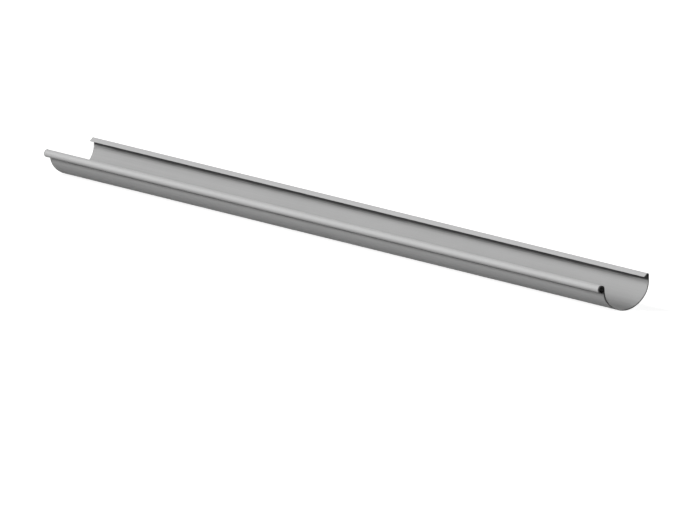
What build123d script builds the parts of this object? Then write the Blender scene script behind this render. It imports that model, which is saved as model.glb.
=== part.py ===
from build123d import *
from math import atan2, cos, degrees, radians, sin
import os

# Half-round eaves gutter: one length of steel sheet, roll-formed into a trough with a curled
# front bead and a folded back edge. Millimetres and degrees.
# X runs along the gutter, -Y is the bead side and +Y is the side that goes towards the wall.
# The origin is on the floor under the middle of the part, which lies rolled over to its bead side
# as it comes to rest when nothing holds it.

# Stock
length = 1650
sheet = 0.6

# Trough
mouth_width = 125  # from the bead to the outside of the back wall
depth = 67  # from the underside to the top of the back edge
side_arc_angle = 45  # how far each side arc turns before the flatter bottom arc takes over

# Front bead, curled outwards from the top of the front wall
bead_diameter = 16
bead_drop = 4.4  # how far the bead's top lies under the top of the back edge
bead_angle = 270  # how far the bead curls before its free end turns in tighter
tuck_radius = 5  # outside radius of the free end
tuck_angle = 80

# Back edge, folded inwards over the trough
back_wall_height = 12.4  # the upright stretch between the trough's curve and the fold
fold_radius = 2.7  # outside radius of the fold
lip_length = 9.6  # the flat stretch after the fold
lip_slope = 37  # how steeply the lip falls towards the trough

# The section is drawn upright, as it hangs, along the middle of the sheet's thickness.
# Its zero is on the underside, below the middle of the mouth.
half_sheet = sheet / 2
front_wall = -mouth_width / 2 - half_sheet
back_wall = mouth_width / 2 - half_sheet
bead_height = depth - bead_drop - bead_diameter / 2
bead_turn = bead_diameter / 2 - half_sheet
bead_middle = front_wall - bead_turn
tuck_turn = tuck_radius - half_sheet
fold_height = depth - fold_radius
fold_turn = fold_radius - half_sheet
back_curve_height = fold_height - back_wall_height


def quarter_radii(half_width, height):
    """Radii of the side arc and the flatter bottom arc that together turn a wall into the bottom.

    The side arc turns by side_arc_angle and the bottom arc by the rest of a right angle.
    Across and down, the two arcs cover half_width and height.
    """
    turned_across = cos(radians(side_arc_angle))
    turned_down = sin(radians(side_arc_angle))
    spread = turned_across + turned_down - 1
    side = (height * turned_across - half_width * (1 - turned_down)) / spread
    bottom = (half_width * turned_down - height * (1 - turned_across)) / spread
    return side, bottom


front_side_radius, front_bottom_radius = quarter_radii(-front_wall, bead_height - half_sheet)
back_side_radius, back_bottom_radius = quarter_radii(back_wall, back_curve_height - half_sheet)
bottom_arc_angle = 90 - side_arc_angle

with BuildSketch() as section:
    with BuildLine() as sheet_line:
        bead = CenterArc((bead_middle, bead_height), bead_turn, 0, bead_angle)
        JernArc(bead @ 1, bead % 1, tuck_turn, tuck_angle)
        front_side = JernArc((front_wall, bead_height), (0, -1), front_side_radius, side_arc_angle)
        JernArc(front_side @ 1, front_side % 1, front_bottom_radius, bottom_arc_angle)
        back_side = JernArc((back_wall, back_curve_height), (0, -1), back_side_radius, -side_arc_angle)
        JernArc(back_side @ 1, back_side % 1, back_bottom_radius, -bottom_arc_angle)
        Line((back_wall, back_curve_height), (back_wall, fold_height))
        fold = CenterArc((back_wall - fold_turn, fold_height), fold_turn, 0, 90 + lip_slope)
        PolarLine(fold @ 1, lip_length, direction=fold % 1)
    trace(line_width=sheet)

# Unheld, the trough rolls until its weight is straight above the point that it rests on, which is
# the point of the trough's curve nearest to the section's centre of mass.
weight = section.face().center(CenterOf.MASS)
_, rest_point, _ = sheet_line.line.distance_to_with_closest_points(weight)
lean = degrees(atan2(weight.X - rest_point.X, weight.Y - rest_point.Y))
lying_box = section.sketch.rotate(Axis.Z, lean).bounding_box()
lying = Plane(
    origin=(-length / 2, -lying_box.center().X, -lying_box.min.Y),
    x_dir=(0, cos(radians(lean)), sin(radians(lean))),
    z_dir=(1, 0, 0),
)

with BuildPart() as gutter:
    with BuildSketch(lying):
        add(section.sketch)
    extrude(amount=length)

gutter.part.label = "gutter"
os.makedirs("parts", exist_ok=True)
export_step(gutter.part, "parts/gutter.step")

section_area = section.sketch.area
print(f"lean {lean:.2f} degrees, section {section_area:.1f} mm2, developed width {section_area / sheet:.1f} mm")
print(f"centre of mass {weight.X:.2f}, {weight.Y:.2f}, rests at {rest_point.X:.2f}, {rest_point.Y:.2f}")
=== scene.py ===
import bpy
import math
from mathutils import Matrix, Vector, geometry, noise


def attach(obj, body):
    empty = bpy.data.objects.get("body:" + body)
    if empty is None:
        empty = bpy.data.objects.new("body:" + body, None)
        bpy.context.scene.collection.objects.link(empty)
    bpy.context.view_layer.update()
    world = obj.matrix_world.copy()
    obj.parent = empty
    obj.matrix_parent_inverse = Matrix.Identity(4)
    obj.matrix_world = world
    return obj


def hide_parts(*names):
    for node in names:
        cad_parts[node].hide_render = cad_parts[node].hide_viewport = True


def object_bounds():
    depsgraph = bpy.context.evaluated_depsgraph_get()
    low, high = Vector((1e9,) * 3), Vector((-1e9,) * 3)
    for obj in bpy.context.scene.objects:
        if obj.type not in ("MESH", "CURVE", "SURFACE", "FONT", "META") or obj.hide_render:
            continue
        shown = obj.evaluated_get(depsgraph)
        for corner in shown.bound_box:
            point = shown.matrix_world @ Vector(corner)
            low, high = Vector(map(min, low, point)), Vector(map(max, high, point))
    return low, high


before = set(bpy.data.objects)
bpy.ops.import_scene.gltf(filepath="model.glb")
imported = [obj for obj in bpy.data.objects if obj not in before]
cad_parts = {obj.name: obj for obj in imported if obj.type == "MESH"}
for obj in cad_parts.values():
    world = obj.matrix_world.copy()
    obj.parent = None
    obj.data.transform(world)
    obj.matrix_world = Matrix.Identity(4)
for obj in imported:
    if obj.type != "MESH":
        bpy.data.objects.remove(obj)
cadLow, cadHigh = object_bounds()
print("frame loaded")


# Section of the gutter
# Metres and degrees, drawn upright along the middle of the sheet: x is across, y is up

section = {
    "sheet": 0.0006,
    "mouthWidth": 0.125,  # bead to the outside of the back wall
    "depth": 0.067,
    "sideArcTurn": 45,  # tighter side arc, before the flatter bottom
    "beadDiameter": 0.016,
    "beadTurn": 270,  # before its free end turns in tighter
    "beadDrop": 0.0044,  # bead top under the back edge's top
    "tuckRadius": 0.005,  # free end of the bead
    "tuckTurn": 80,
    "backWallHeight": 0.0124,
    "foldRadius": 0.0027,
    "lipLength": 0.0096,
    "lipSlope": 37,  # below level, towards the trough
    "longestStep": 0.0016,  # between two points of the line
    "sharpestTurn": 6,  # degrees between two points of the line
}


def across(angle):
    # to the left of a heading
    return Vector((-math.sin(angle), math.cos(angle)))


def quarterRadii(halfWidth, height, turn):
    # side and bottom arc that bring a wall round to the level bottom
    turnedAcross, turnedDown = math.cos(math.radians(turn)), math.sin(math.radians(turn))
    spread = turnedAcross + turnedDown - 1
    side = (height * turnedAcross - halfWidth * (1 - turnedDown)) / spread
    bottom = (halfWidth * turnedDown - height * (1 - turnedAcross)) / spread
    return side, bottom


def follow(start, heading, bends, s):
    # bends are (radius, degrees); a straight run is (length, 0); gives points with their headings
    point, angle = Vector(start), math.radians(heading)
    path = [(point.copy(), angle)]
    for size, degrees in bends:
        turn = math.radians(degrees)
        reach = size * abs(turn) if degrees else size
        steps = math.ceil(max(reach / s["longestStep"], abs(degrees) / s["sharpestTurn"]))
        side = math.copysign(1, turn)
        middle = point + across(angle) * size * side
        for i in range(steps):
            angle += turn / steps
            if degrees:
                point = middle - across(angle) * size * side
            else:
                point = point + Vector((math.cos(angle), math.sin(angle))) * size / steps
            path.append((point, angle))
    return path


def sheetLine(s):
    # from the bead's free end over the bead, down through the trough and up to the lip's edge
    # gives the line and the middle of the front bottom arc, which is the one that rolls on the floor
    half = s["sheet"] / 2
    frontWall = -s["mouthWidth"] / 2 - half
    backWall = s["mouthWidth"] / 2 - half
    beadHeight = s["depth"] - s["beadDrop"] - s["beadDiameter"] / 2
    curveHeight = s["depth"] - s["foldRadius"] - s["backWallHeight"]
    frontSide, frontBottom = quarterRadii(-frontWall, beadHeight - half, s["sideArcTurn"])
    backSide, backBottom = quarterRadii(backWall, curveHeight - half, s["sideArcTurn"])
    bottomTurn = 90 - s["sideArcTurn"]
    bead = follow((frontWall, beadHeight), 90, [
        (s["beadDiameter"] / 2 - half, s["beadTurn"]),
        (s["tuckRadius"] - half, s["tuckTurn"]),
    ], s)
    trough = follow((frontWall, beadHeight), -90, [
        (frontSide, s["sideArcTurn"]),
        (frontBottom, bottomTurn),
        (backBottom, bottomTurn),
        (backSide, s["sideArcTurn"]),
        (s["backWallHeight"], 0),
        (s["foldRadius"] - half, 90 + s["lipSlope"]),
        (s["lipLength"], 0),
    ], s)
    curled = [(p, angle + math.pi) for p, angle in reversed(bead[1:])]
    return curled + trough, Vector((0, half + frontBottom))


def restingLean(line, rollMiddle):
    # unheld, the trough rolls until its weight hangs straight under the middle of the arc it rolls on
    weight, total = Vector((0, 0)), 0
    for (a, _), (b, _) in zip(line, line[1:]):
        weight += (a + b) / 2 * (b - a).length
        total += (b - a).length
    hanging = rollMiddle - weight / total
    return math.atan2(hanging.x, hanging.y)


def laidDown(line, lean, s):
    # leans the line over and sets it in the CAD box; gives the line and how far it was moved
    turn = Matrix.Rotation(lean, 2)
    turned = [(turn @ p, angle + lean) for p, angle in line]
    faces = [p + across(angle) * side for p, angle in turned for side in (s["sheet"] / 2, -s["sheet"] / 2)]
    middle = (min(p.x for p in faces) + max(p.x for p in faces)) / 2
    move = Vector(((cadLow.y + cadHigh.y) / 2 - middle, cadLow.z - min(p.y for p in faces)))
    return [(p + move, angle) for p, angle in turned], move


upright, rollMiddle = sheetLine(section)
lean = restingLean(upright, rollMiddle)
laidLine, lineMove = laidDown(upright, lean, section)
print("section drawn, lean", round(math.degrees(lean), 2), "degrees,", len(laidLine), "points")


# The sheet

gutterSheet = {
    "alongStep": 0.02,  # between two rings of points
    "burr": 0.00006,  # broken off the corners of the cut edges
    "waveHeight": 0.0001,  # faint waviness that the rolls leave
    "waveLength": 0.16,  # along the sheet
    "waveAcross": 0.03,
    "waveSeed": 7.3,
    # the shelter, open-end and channel marks set where painted shade goes in the finish
    "shelterReach": 0.02,  # how near a neighbouring wall has to be to shelter a point
    "shelterRays": 48,
    "openEnd": 0.065,  # how far in from its open ends the gutter shelters less, so the painted shade fades there
    "openEndShelter": 0.9,  # what is left of the shelter at the end itself
    "channelDepth": 0.055,  # how high up the trough's inside the painted shade reaches; it is darkest at the bottom
    "cleanEnd": 3,  # the left end is cut cleaner: the worn band beside it is narrower by this much
    "cleanFront": 0.6,  # in the front half the saw starts roughly, so there the band is wider
    "cleanBack": 1.75,  # and at the back wall it is narrower
    "beadBlend": 0.004,  # how far across it takes to widen from the bead's to the front half's
    "smoothUnder": 35,  # degrees between two faces; a sharper edge stays sharp
}


def shelterAt(place, facing, line, s):
    # share of the directions out of a point that meet the sheet again close by
    met, total = 0, 0
    for i in range(s["shelterRays"]):
        swing = math.pi * ((i + 0.5) / s["shelterRays"] - 0.5)
        weight = math.cos(swing)
        start = place + facing * section["sheet"] / 2
        end = start + Matrix.Rotation(swing, 2) @ facing * s["shelterReach"]
        total += weight
        for (a, _), (b, _) in zip(line, line[1:]):
            if geometry.intersect_line_line_2d(start, end, a, b):
                met += weight
                break
    return met / total


def alongStations(s):
    # even steps, with a short one at each cut end
    steps = round((cadHigh.x - cadLow.x) / s["alongStep"])
    inner = [cadLow.x + (cadHigh.x - cadLow.x) * i / steps for i in range(1, steps)]
    return [cadLow.x, cadLow.x + s["burr"], *inner, cadHigh.x - s["burr"], cadHigh.x]


def inBox(y, z):
    return min(max(y, cadLow.y), cadHigh.y), min(max(z, cadLow.z), cadHigh.z)


def cleanAt(x, inner, s):
    # how much narrower the worn band is at a place across the gutter; on the bead it is 1
    if x > 0:
        return s["cleanFront"] + (s["cleanBack"] - s["cleanFront"]) * x / inner
    return 1 + (s["cleanFront"] - 1) * min(1, max(0, (x + inner) / s["beadBlend"]))


def sheetPoints(stations, s):
    # two rings at each station, one for each face of the sheet, with the marks that the finish reads
    # face 0 is the trough's inside and the bead's outside, face 1 is the other
    half = section["sheet"] / 2
    inner = section["mouthWidth"] / 2
    gone = [0]
    for (a, _), (b, _) in zip(laidLine, laidLine[1:]):
        gone.append(gone[-1] + (b - a).length)
    # shelter: how closed in each point is by the sheet itself, which sets the painted shade
    shelter = [
        [shelterAt(p, across(angle) * side, laidLine, s) for p, angle in laidLine]
        for side in (1, -1)
    ]
    # channel: painted shade along the trough's inside, strongest at its bottom, standing in for the bead's
    # shadow
    inside = [max(0, 1 - p.y / s["channelDepth"]) if p.x > -inner else 0 for p, _ in upright]
    channel = [inside, [0] * len(inside)]
    clean = [cleanAt(p.x, inner, s) for p, _ in upright]
    points = []
    marks = {"endDistance": [], "shelter": [], "channel": []}
    for x in stations:
        fromLeft, fromRight = x - cadLow.x, cadHigh.x - x
        fromEnd = min(fromLeft, fromRight)
        # the painted shade thins towards the open ends, where light gets in
        closed = min(1, s["openEndShelter"] + (1 - s["openEndShelter"]) * fromEnd / s["openEnd"])
        waveHere = s["waveHeight"] * min(1, fromEnd / s["waveLength"])
        for face, side in enumerate((1, -1)):
            for i, (p, angle) in enumerate(laidLine):
                wave = noise.noise(Vector((x / s["waveLength"], gone[i] / s["waveAcross"], s["waveSeed"])))
                wave *= waveHere
                fromRim = min(gone[i], gone[-1] - gone[i])
                trim = s["burr"] if fromEnd == 0 or fromRim == 0 else 0
                q = p + across(angle) * (side * (half - trim) + wave)
                points.append((x, *inBox(q.x, q.y)))
                marks["endDistance"].append(min(fromLeft * s["cleanEnd"], fromRight) * clean[i])
                marks["shelter"].append(shelter[face][i] * closed)
                marks["channel"].append(channel[face][i])
    return points, marks


def sheetFaces(stationCount, lineCount):
    # the sheet's two coated faces with their long rims, then the bare cut ends
    def at(k, face, i):
        return (2 * k + face) * lineCount + i

    last = lineCount - 1
    skin, cut = [], []
    for k in range(stationCount - 1):
        for i in range(last):
            skin.append((at(k, 0, i), at(k + 1, 0, i), at(k + 1, 0, i + 1), at(k, 0, i + 1)))
            skin.append((at(k, 1, i), at(k, 1, i + 1), at(k + 1, 1, i + 1), at(k + 1, 1, i)))
        skin.append((at(k, 0, 0), at(k, 1, 0), at(k + 1, 1, 0), at(k + 1, 0, 0)))
        skin.append((at(k, 0, last), at(k + 1, 0, last), at(k + 1, 1, last), at(k, 1, last)))
    far = stationCount - 1
    for i in range(last):
        cut.append((at(0, 0, i), at(0, 0, i + 1), at(0, 1, i + 1), at(0, 1, i)))
        cut.append((at(far, 0, i), at(far, 1, i), at(far, 1, i + 1), at(far, 0, i + 1)))
    return skin, cut


def buildSheet(s):
    stations = alongStations(s)
    points, marks = sheetPoints(stations, s)
    skin, cut = sheetFaces(len(stations), len(laidLine))
    mesh = bpy.data.meshes.new("gutterSheet")
    mesh.from_pydata(points, [], skin + cut)
    for name, values in marks.items():
        mesh.attributes.new(name, "FLOAT", "POINT").data.foreach_set("value", values)
    mesh.polygons.foreach_set("material_index", [0] * len(skin) + [1] * len(cut))
    mesh.shade_smooth()
    mesh.set_sharp_from_angle(angle=math.radians(s["smoothUnder"]))
    gutter = bpy.data.objects.new("gutterSheet", mesh)
    bpy.context.scene.collection.objects.link(gutter)
    return gutter


gutter = buildSheet(gutterSheet)
print("sheet built,", len(gutter.data.polygons), "faces")


# Node helpers

def newMaterial(name):
    material = bpy.data.materials.new(name)
    material.use_nodes = True
    return material


def newGroup(name, inputs, outputs):
    group = bpy.data.node_groups.new(name, "ShaderNodeTree")
    for socketName, value in inputs.items():
        socket = group.interface.new_socket(name=socketName, in_out="INPUT", socket_type="NodeSocketFloat")
        socket.default_value = value
    for socketName in outputs:
        group.interface.new_socket(name=socketName, in_out="OUTPUT", socket_type="NodeSocketFloat")
    return group, group.nodes.new("NodeGroupInput"), group.nodes.new("NodeGroupOutput")


def placeGroup(tree, group, values):
    node = tree.nodes.new("ShaderNodeGroup")
    node.node_tree = group
    for name, value in values.items():
        node.inputs[name].default_value = value
    return node


def calculate(tree, operation, a, b=0.0, clamp=False):
    node = tree.nodes.new("ShaderNodeMath")
    node.operation = operation
    node.use_clamp = clamp
    for socket, value in zip(node.inputs, (a, b)):
        if isinstance(value, (int, float)):
            socket.default_value = value
        else:
            tree.links.new(value, socket)
    return node.outputs[0]


def meshMark(tree, name):
    node = tree.nodes.new("ShaderNodeAttribute")
    node.attribute_name = name
    return node.outputs["Fac"]


def objectNoise(tree, s):
    # perMetre is how fine the noise is along, across and up
    place = tree.nodes.new("ShaderNodeTexCoord")
    mapping = tree.nodes.new("ShaderNodeMapping")
    mapping.inputs["Scale"].default_value = s["perMetre"]
    texture = tree.nodes.new("ShaderNodeTexNoise")
    texture.inputs["Scale"].default_value = 1
    texture.inputs["Detail"].default_value = s["detail"]
    texture.inputs["Roughness"].default_value = s["roughness"]
    tree.links.new(place.outputs["Object"], mapping.inputs["Vector"])
    tree.links.new(mapping.outputs["Vector"], texture.inputs["Vector"])
    return texture.outputs["Fac"]


# Effects that both finishes use

noiseMiddle = 0.5

rolledGrainLook = {
    "noises": {
        "Lines": {"perMetre": (1.2, 260, 260), "detail": 4, "roughness": 0.6},
        "Mottle": {"perMetre": (9, 22, 22), "detail": 3, "roughness": 0.5},
        "Flecks": {"perMetre": (1400, 1400, 1400), "detail": 2, "roughness": 0.6},
    },
    "toneSwing": 2,  # the noises reach half a unit to either side of their middle
    "roughSwing": -1.5,  # where the tone is lighter the sheet is smoother
    "heights": {"Lines": 0.6, "Flecks": 0.4},  # the share of each in the bump
}


def rolledGrainGroup(s):
    # lines that the rolls draw along the sheet, a soft mottle, and fine flecks of the coating
    group, given, result = newGroup("rolledGrain", {
        "Lines": 0.03,
        "Mottle": 0.03,
        "Flecks": 0.03,
    }, ("Tone", "Rough Shift", "Height"))
    noises = {name: objectNoise(group, look) for name, look in s["noises"].items()}
    total = 0.0
    for name, source in noises.items():
        offMiddle = calculate(group, "SUBTRACT", source, noiseMiddle)
        share = calculate(group, "MULTIPLY", offMiddle, given.outputs[name])
        total = calculate(group, "ADD", share, total)
    tone = calculate(group, "ADD", calculate(group, "MULTIPLY", total, s["toneSwing"]), 1)
    group.links.new(tone, result.inputs["Tone"])
    group.links.new(calculate(group, "MULTIPLY", total, s["roughSwing"]), result.inputs["Rough Shift"])
    raised = [calculate(group, "MULTIPLY", noises[name], share) for name, share in s["heights"].items()]
    group.links.new(calculate(group, "ADD", *raised), result.inputs["Height"])
    return group


edgeWearLook = {
    "patches": {"perMetre": (160, 160, 160), "detail": 4, "roughness": 0.65},
    "patchMiddle": 0.45,
}


def edgeWearGroup(s):
    # where the coating is cut back and dulled beside the sawn ends
    group, given, result = newGroup("edgeWear", {
        "End Reach": 0.002,
        "Patchiness": 0.5,
        "Steepness": 2,
    }, ("Mask",))
    offMiddle = calculate(group, "SUBTRACT", objectNoise(group, s["patches"]), s["patchMiddle"])
    broken = calculate(group, "ADD", calculate(group, "MULTIPLY", offMiddle, given.outputs["Patchiness"]), 1)
    away = calculate(group, "DIVIDE", meshMark(group, "endDistance"), given.outputs["End Reach"])
    remaining = calculate(group, "SUBTRACT", broken, away)
    mask = calculate(group, "MULTIPLY", remaining, given.outputs["Steepness"], clamp=True)
    group.links.new(mask, result.inputs["Mask"])
    return group


# patches that break up the painted shade
paintedShadeLook = {
    "patches": {"perMetre": (14, 90, 90), "detail": 4, "roughness": 0.6},
}


def paintedShadeGroup(s):
    # painted shade inside the bead, under the lip, in the crease below the bead and along the trough's
    # bottom, darkest where the sheet shelters itself most
    group, given, result = newGroup("paintedShade", {
        "Starts At": 0.45,
        "Full At": 0.95,
        "Most": 1,
        "Channel": 0,
        "Patchiness": 0.3,
    }, ("Mask",))
    offMiddle = calculate(group, "SUBTRACT", objectNoise(group, s["patches"]), noiseMiddle)
    uneven = calculate(group, "MULTIPLY", offMiddle, given.outputs["Patchiness"])
    sheltered = calculate(group, "ADD", meshMark(group, "shelter"), uneven)
    span = calculate(group, "SUBTRACT", given.outputs["Full At"], given.outputs["Starts At"])
    past = calculate(group, "SUBTRACT", sheltered, given.outputs["Starts At"])
    shelterShade = calculate(group, "DIVIDE", past, span, clamp=True)
    shelterShade = calculate(group, "MINIMUM", shelterShade, given.outputs["Most"])
    # painted shade along the trough's bottom, read from the channel mark
    bottomShade = calculate(group, "MULTIPLY", calculate(group, "ADD", uneven, 1), meshMark(group, "channel"))
    bottomShade = calculate(group, "MULTIPLY", bottomShade, given.outputs["Channel"])
    group.links.new(calculate(group, "MAXIMUM", shelterShade, bottomShade), result.inputs["Mask"])
    return group


rolledGrain = rolledGrainGroup(rolledGrainLook)
edgeWear = edgeWearGroup(edgeWearLook)
paintedShade = paintedShadeGroup(paintedShadeLook)


# Finishes

coatedSteel = {
    "colour": (0.5, 0.5, 0.5),
    "wearColour": (0.06, 0.06, 0.06),
    # the near-black colour below and its mask paint shade into the hollows and along the trough's bottom
    "paintedShadeColour": (0.03, 0.03, 0.03),
    "metallic": 0.05,
    "roughness": 0.5,
    "specular": 0.08,
    "grain": {"Lines": 0.08, "Mottle": 0.045, "Flecks": 0.06},
    "wear": {"End Reach": 0.004, "Patchiness": 0.3, "Steepness": 2.5},
    "paintedShade": {"Starts At": 0.15, "Full At": 0.215, "Most": 0.82, "Channel": 0.33, "Patchiness": 0.04},
    "bumpStrength": 0.12,
    "bumpDistance": 0.0002,
}

cutSteel = {
    "colour": (0.05, 0.05, 0.05),
    "wearColour": (0.1, 0.1, 0.1),
    # the near-black colour below and its mask paint shade into the sheltered parts of the cut
    "paintedShadeColour": (0.03, 0.03, 0.03),
    "metallic": 0.4,
    "roughness": 0.5,
    "specular": 0.5,
    "grain": {"Lines": 0.1, "Mottle": 0.12, "Flecks": 0.15},
    "wear": {"End Reach": 0.0001, "Patchiness": 2, "Steepness": 1},  # all over the cut, in patches
    "paintedShade": {"Starts At": 0.5, "Full At": 1, "Most": 0.6, "Channel": 0, "Patchiness": 0.3},
    "bumpStrength": 0.3,
    "bumpDistance": 0.0001,
}


def sheetFinish(name, s):
    material = newMaterial(name)
    tree = material.node_tree
    shader = tree.nodes["Principled BSDF"]
    shader.inputs["Metallic"].default_value = s["metallic"]
    shader.inputs["Specular IOR Level"].default_value = s["specular"]
    grain = placeGroup(tree, rolledGrain, s["grain"])
    toned = tree.nodes.new("ShaderNodeVectorMath")
    toned.operation = "SCALE"
    toned.inputs[0].default_value = s["colour"]
    tree.links.new(grain.outputs["Tone"], toned.inputs["Scale"])
    colour = toned.outputs["Vector"]
    worn = (edgeWear, s["wear"], s["wearColour"])
    # the second layer paints shade into the hollows and along the trough's bottom
    shadeLayer = (paintedShade, s["paintedShade"], s["paintedShadeColour"])
    for group, values, over in (worn, shadeLayer):
        layer = tree.nodes.new("ShaderNodeMix")
        layer.data_type = "RGBA"
        tree.links.new(placeGroup(tree, group, values).outputs["Mask"], layer.inputs["Factor"])
        tree.links.new(colour, layer.inputs["A"])
        layer.inputs["B"].default_value = (*over, 1)
        colour = layer.outputs["Result"]
    tree.links.new(colour, shader.inputs["Base Color"])
    rough = calculate(tree, "ADD", grain.outputs["Rough Shift"], s["roughness"], clamp=True)
    tree.links.new(rough, shader.inputs["Roughness"])
    bump = tree.nodes.new("ShaderNodeBump")
    bump.inputs["Strength"].default_value = s["bumpStrength"]
    bump.inputs["Distance"].default_value = s["bumpDistance"]
    tree.links.new(grain.outputs["Height"], bump.inputs["Height"])
    tree.links.new(bump.outputs["Normal"], shader.inputs["Normal"])
    return material


gutter.data.materials.append(sheetFinish("coatedSteel", coatedSteel))
gutter.data.materials.append(sheetFinish("cutSteel", cutSteel))
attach(gutter, "root")
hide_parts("gutter")
print("finishes on")


# Studio

floorBoard = {
    "half": 30,  # of its side
    "colour": 0.04,  # as the object is lit by it
    "seenColour": 0.35,  # as the camera and reflections see it, on top of the glow
    "seenGlow": 0.86,
}

surroundLight = 0.01  # what reaches the object from all round; seen and reflected, the surround is white

# Degrees: height is above the floor, swing is round from the bead side towards the right end
sunLamps = {
    "front": {"strength": 1.5, "softness": 16, "height": 22, "swing": -12},
    "top": {"strength": 1.4, "softness": 16, "height": 46, "swing": -12},
    "back": {"strength": 1.8, "softness": 30, "height": 23, "swing": 170},
}

lowStrip = {
    "watts": 1.5,
    "length": 2.4,
    "height": 0.03,
    "away": 0.38,  # in front of the bead side
}


def seenRays(tree):
    # 1 for camera, glossy and transmission rays
    path = tree.nodes.new("ShaderNodeLightPath")
    seen = calculate(tree, "MAXIMUM", path.outputs["Is Camera Ray"], path.outputs["Is Glossy Ray"])
    return calculate(tree, "MAXIMUM", seen, path.outputs["Is Transmission Ray"])


def buildFloor(s):
    corners = [(x * s["half"], y * s["half"], cadLow.z) for x, y in ((-1, -1), (1, -1), (1, 1), (-1, 1))]
    mesh = bpy.data.meshes.new("floor")
    mesh.from_pydata(corners, [], [(0, 1, 2, 3)])
    floor = bpy.data.objects.new("floor", mesh)
    bpy.context.scene.collection.objects.link(floor)
    material = newMaterial("paleFloor")
    tree = material.node_tree
    tree.nodes.remove(tree.nodes["Principled BSDF"])
    seen = seenRays(tree)
    matte = tree.nodes.new("ShaderNodeBsdfDiffuse")
    paler = calculate(tree, "MULTIPLY", seen, s["seenColour"] - s["colour"])
    tree.links.new(calculate(tree, "ADD", paler, s["colour"]), matte.inputs["Color"])
    glow = tree.nodes.new("ShaderNodeEmission")
    tree.links.new(calculate(tree, "MULTIPLY", seen, s["seenGlow"]), glow.inputs["Strength"])
    both = tree.nodes.new("ShaderNodeAddShader")
    tree.links.new(matte.outputs[0], both.inputs[0])
    tree.links.new(glow.outputs[0], both.inputs[1])
    tree.links.new(both.outputs[0], tree.nodes["Material Output"].inputs["Surface"])
    mesh.materials.append(material)


def buildSurround(light):
    world = bpy.data.worlds.new("studio")
    bpy.context.scene.world = world
    world.use_nodes = True
    tree = world.node_tree
    background = tree.nodes["Background"]
    background.inputs["Color"].default_value = (1, 1, 1, 1)
    whiter = calculate(tree, "MULTIPLY", seenRays(tree), 1 - light)
    tree.links.new(calculate(tree, "ADD", whiter, light), background.inputs["Strength"])


def buildSun(name, s):
    light = bpy.data.lights.new(name, "SUN")
    light.energy = s["strength"]
    light.angle = math.radians(s["softness"])
    lamp = bpy.data.objects.new(name, light)
    up, swing = math.radians(s["height"]), math.radians(s["swing"])
    towards = Vector((math.sin(swing) * math.cos(up), -math.cos(swing) * math.cos(up), math.sin(up)))
    lamp.rotation_euler = towards.to_track_quat("Z", "Y").to_euler()
    bpy.context.scene.collection.objects.link(lamp)


def buildStrip(s):
    # stands on the floor in front of the bead, lower than its top, so that none of it enters the trough
    light = bpy.data.lights.new("lowStrip", "AREA")
    light.shape = "RECTANGLE"
    light.size = s["length"]
    light.size_y = s["height"]
    light.energy = s["watts"]
    lamp = bpy.data.objects.new("lowStrip", light)
    lamp.location = (0, cadLow.y - s["away"], cadLow.z + s["height"] / 2)
    lamp.rotation_euler = Vector((0, -1, 0)).to_track_quat("Z", "Y").to_euler()
    lamp.visible_camera = False
    lamp.visible_glossy = False
    bpy.context.scene.collection.objects.link(lamp)


# The view is given against the upright gutter, then leaned over with it
# Metres and degrees; the lens is in millimetres
photoView = {
    "turn": 46.52,  # degrees round from its front
    "rise": 13.59,  # degrees above its mouth
    "focus": (0, 0, 0.033),
    "aimRight": 0.00796,  # sideways from the focus, in the picture
    "aimUp": -0.07605,
    "distance": 49.737,  # far off with a long lens, because the gutter's lines stay parallel
    "lens": 1250,
    "clipNear": 1,
    "clipFar": 200,
}


def buildCamera(s):
    turn, rise = math.radians(s["turn"]), math.radians(s["rise"])
    right = Vector((math.cos(turn), math.sin(turn), 0))
    back = Vector((math.sin(turn) * math.cos(rise), -math.cos(turn) * math.cos(rise), math.sin(rise)))
    up = back.cross(right)
    axes = Matrix((right, up, back)).transposed()
    place = Vector(s["focus"]) + right * s["aimRight"] + up * s["aimUp"] + back * s["distance"]
    laid = Matrix.Translation((0, *lineMove)) @ Matrix.Rotation(lean, 4, "X")
    lens = bpy.data.cameras.new("camera")
    lens.lens = s["lens"]
    lens.clip_start = s["clipNear"]
    lens.clip_end = s["clipFar"]
    camera = bpy.data.objects.new("camera", lens)
    camera.matrix_world = laid @ Matrix.Translation(place) @ axes.to_4x4()
    bpy.context.scene.collection.objects.link(camera)
    bpy.context.scene.camera = camera


buildFloor(floorBoard)
buildSurround(surroundLight)
for name, values in sunLamps.items():
    buildSun(name, values)
buildStrip(lowStrip)
buildCamera(photoView)
bpy.context.scene.view_settings.view_transform = "Standard"
print("studio ready")
